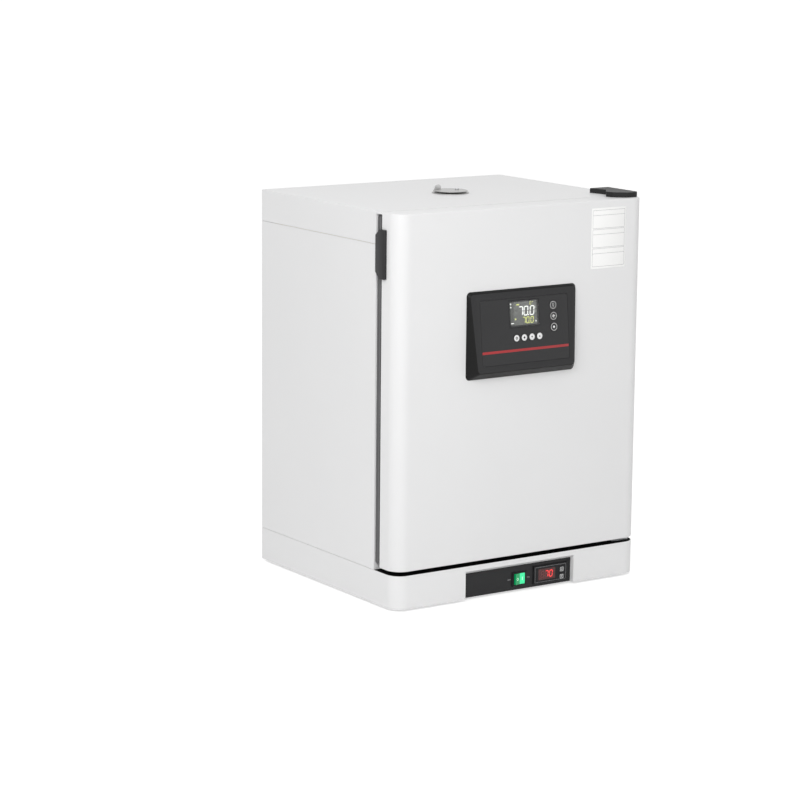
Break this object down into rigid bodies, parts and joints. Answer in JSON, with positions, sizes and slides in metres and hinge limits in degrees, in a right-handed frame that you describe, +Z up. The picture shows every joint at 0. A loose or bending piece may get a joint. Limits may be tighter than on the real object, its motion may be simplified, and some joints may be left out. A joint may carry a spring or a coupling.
{
  "type": "laboratory incubator",
  "caption": "Bench laboratory incubator: insulated cabinet with a side-hung door, digital control panel, glass inner door, shelves, fan and roof vent",
  "frame": {"origin": "bench level, under the middle of the whole instrument's width and depth", "axes": "+X to the right as seen from the front, +Y to the rear, so the door faces -Y, +Z up"},
  "size_m": [0.5585, 0.486, 0.7335],
  "materials": {
    "white_paint": "smooth white powder coat",
    "stainless": "fine brushed stainless steel",
    "zinc_steel": "zinc-plated steel",
    "chrome_steel": "polished stainless wire",
    "black_plastic": "fine-grained black plastic",
    "dark_housing": "satin dark grey plastic",
    "overlay_film": "satin dark film",
    "key_white": "white ringed round keys",
    "key_grey": "dark round keys",
    "clear_window": "clear display window",
    "display": "display glass",
    "seal_grey": "grey silicone",
    "foot_rubber": "black rubber",
    "mineral_wool": "mineral wool",
    "door_glass": "clear float glass",
    "board_green": "circuit board",
    "iron_core": "laminated core and motor iron",
    "rocker_green": "lit green rocker",
    "button_pale": "pale square buttons",
    "red_window": "dark red window",
    "lamp_white": "opal lamp cover",
    "label_white": "plain white label"
  },
  "bodies": {
    "cabinet": {"base_skirt": "white_paint", "base_deck": "white_paint", "feet": "foot_rubber", "left_side_panel": "white_paint", "right_side_panel": "white_paint", "top_cover": "white_paint", "back_panel": "white_paint", "case_screws": "zinc_steel", "front_frame": "stainless", "inner_chamber": "stainless", "chamber_insulation": "mineral_wool", "cabinet_seal": "seal_grey", "rear_baffle": "stainless", "fan_motor": "iron_core", "heater_element": "stainless", "sensor_probes": "stainless", "shelf_racks": "stainless", "wire_shelves": "chrome_steel", "chamber_lamp": "lamp_white", "vent_tube": "stainless", "upper_hinge_bracket": "zinc_steel", "lower_hinge_plate": "zinc_steel", "hinge_pins": "zinc_steel", "hinge_cover": "black_plastic", "glass_hinge_brackets": "zinc_steel", "control_plate": "black_plastic", "switch_body": "black_plastic", "thermostat_body": "black_plastic", "thermostat_window": "red_window", "power_board": "board_green", "transformer": "iron_core", "power_inlet": "black_plastic", "wiring_loom": "black_plastic"},
    "door": {"door_outer_skin": "white_paint", "door_inner_liner": "stainless", "door_insulation": "mineral_wool", "door_gasket": "seal_grey", "door_handle": "black_plastic", "label_plate": "label_white", "hinge_bearings": "black_plastic", "control_box": "black_plastic", "panel_housing": "dark_housing", "panel_overlay": "overlay_film", "display_window": "clear_window", "display_module": "display", "control_board": "board_green"},
    "glass_inner_door": {"glass_door": "door_glass", "glass_fittings": "stainless"},
    "fan": {"fan_impeller": "stainless"},
    "vent_flap": {"vent_disc": "stainless"},
    "rocker": {"rocker": "rocker_green"},
    "button_up": {"button_up": "button_pale"},
    "button_down": {"button_down": "button_pale"},
    "key_set": {"key_set": "key_white"},
    "key_shift": {"key_shift": "key_white"},
    "key_down": {"key_down": "key_white"},
    "key_up": {"key_up": "key_white"},
    "key_lamp": {"key_lamp": "key_grey"},
    "key_fan": {"key_fan": "key_grey"},
    "key_run": {"key_run": "key_grey"}
  },
  "joints": [
    {"name": "door_hinge", "type": "hinge", "parent": "cabinet", "child": "door", "pos_m": [0.26, -0.193, 0.397], "axis": [0, 0, 1], "range_deg": [0, 120]},
    {"name": "glass_door_hinge", "type": "hinge", "parent": "cabinet", "child": "glass_inner_door", "pos_m": [0.226, -0.1635, 0.37], "axis": [0, 0, 1], "range_deg": [0, 102]},
    {"name": "fan_spin", "type": "hinge", "parent": "cabinet", "child": "fan", "pos_m": [0, 0.155, 0.37], "axis": [0, 1, 0], "continuous": true},
    {"name": "vent_swing", "type": "hinge", "parent": "cabinet", "child": "vent_flap", "pos_m": [0.019, 0.0208, 0.7244], "axis": [0, 0, 1], "range_deg": [0, 120]},
    {"name": "rocker_tilt", "type": "hinge", "parent": "cabinet", "child": "rocker", "pos_m": [0.00675, -0.2117, 0.0253], "axis": [0, 0, -1], "range_deg": [0, 16]},
    {"name": "button_up_press", "type": "slide", "parent": "cabinet", "child": "button_up", "axis": [0, 1, 0], "range_m": [0, 0.0008], "stiffness_N_per_m": 600},
    {"name": "button_down_press", "type": "slide", "parent": "cabinet", "child": "button_down", "axis": [0, 1, 0], "range_m": [0, 0.0008], "stiffness_N_per_m": 600},
    {"name": "key_set_press", "type": "slide", "parent": "door", "child": "key_set", "axis": [0, 0.9946, -0.1039], "range_m": [0, 0.0006], "stiffness_N_per_m": 600},
    {"name": "key_shift_press", "type": "slide", "parent": "door", "child": "key_shift", "axis": [0, 0.9946, -0.1039], "range_m": [0, 0.0006], "stiffness_N_per_m": 600},
    {"name": "key_down_press", "type": "slide", "parent": "door", "child": "key_down", "axis": [0, 0.9946, -0.1039], "range_m": [0, 0.0006], "stiffness_N_per_m": 600},
    {"name": "key_up_press", "type": "slide", "parent": "door", "child": "key_up", "axis": [0, 0.9946, -0.1039], "range_m": [0, 0.0006], "stiffness_N_per_m": 600},
    {"name": "key_lamp_press", "type": "slide", "parent": "door", "child": "key_lamp", "axis": [0, 0.9946, -0.1039], "range_m": [0, 0.0006], "stiffness_N_per_m": 600},
    {"name": "key_fan_press", "type": "slide", "parent": "door", "child": "key_fan", "axis": [0, 0.9946, -0.1039], "range_m": [0, 0.0006], "stiffness_N_per_m": 600},
    {"name": "key_run_press", "type": "slide", "parent": "door", "child": "key_run", "axis": [0, 0.9946, -0.1039], "range_m": [0, 0.0006], "stiffness_N_per_m": 600}
  ],
  "couplings": [
    {"joint": "glass_door_hinge", "follows": "door_hinge", "ratio": 0.85}
  ]
}
